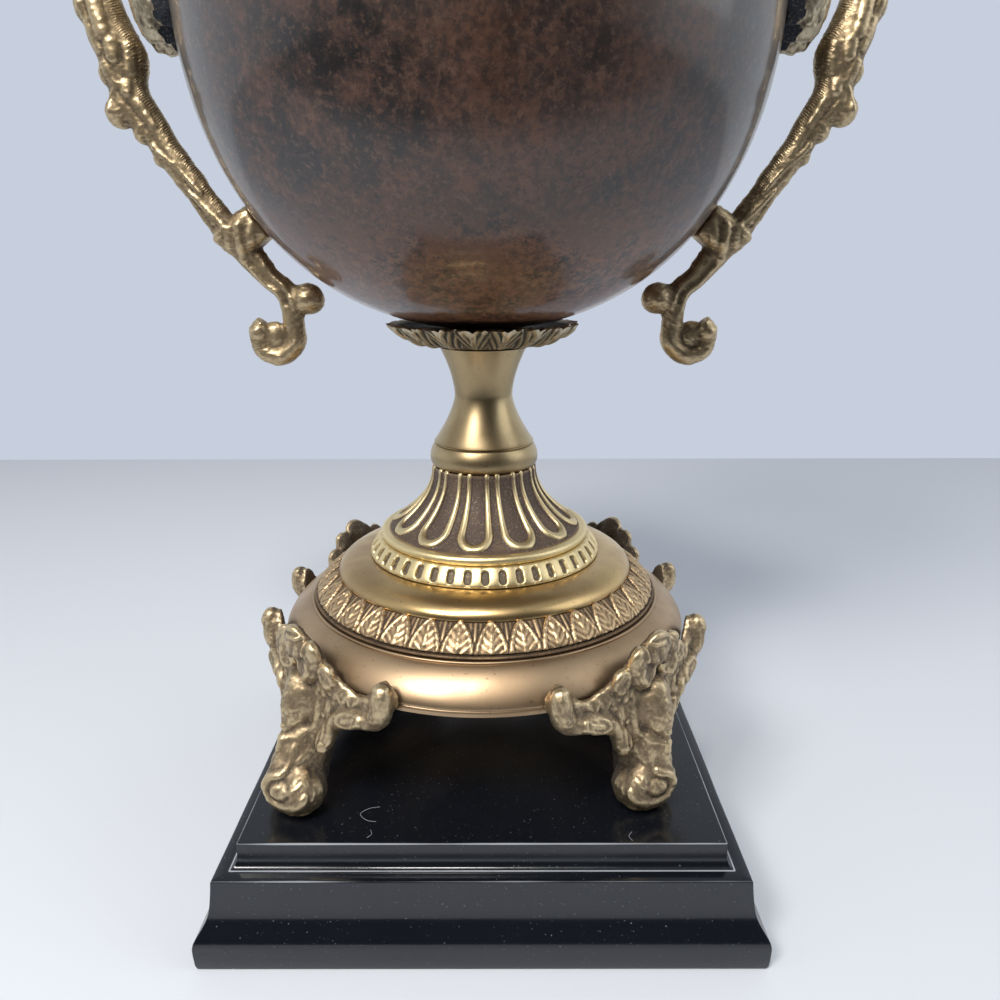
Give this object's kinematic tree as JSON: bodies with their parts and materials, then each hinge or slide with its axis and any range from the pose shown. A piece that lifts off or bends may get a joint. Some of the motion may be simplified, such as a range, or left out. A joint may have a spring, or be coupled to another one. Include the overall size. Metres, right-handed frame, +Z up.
{
  "type": "mantel urn",
  "caption": "Ovoid mottled ceramic mantel urn in cast brass mounts, with two scrolled handles, a lift-off lid, winged scroll feet and a stepped black plinth.",
  "frame": {"origin": "centre of the plinth's underside, where the turning axis meets the floor", "axes": "+Z up along the turning axis, +X towards the right handle, -Y towards the viewer"},
  "size_m": [0.2556, 0.1842, 0.4161],
  "materials": {
    "black_stone": "polished black stone with worn arrises",
    "aged_brass": "satin spun and turned brass",
    "cast_brass": "cast brass with dark patina in the recesses",
    "mottled_glaze": "glossy glazed ceramic, mottled tortoiseshell brown"
  },
  "bodies": {
    "root": {"base_dish": "aged_brass", "leaf_band": "cast_brass", "cushion": "aged_brass", "fluted_cone": "aged_brass", "stem": "aged_brass", "leaf_cup": "cast_brass", "body": "mottled_glaze", "neck_rim": "aged_brass", "lid": "mottled_glaze", "finial": "aged_brass", "plinth": "black_stone", "foot_front_left": "cast_brass", "foot_front_right": "cast_brass", "foot_back_right": "cast_brass", "foot_back_left": "cast_brass", "handle_left": "cast_brass", "handle_right": "cast_brass", "side_mount_left": "cast_brass", "side_mount_right": "cast_brass"}
  },
  "joints": []
}
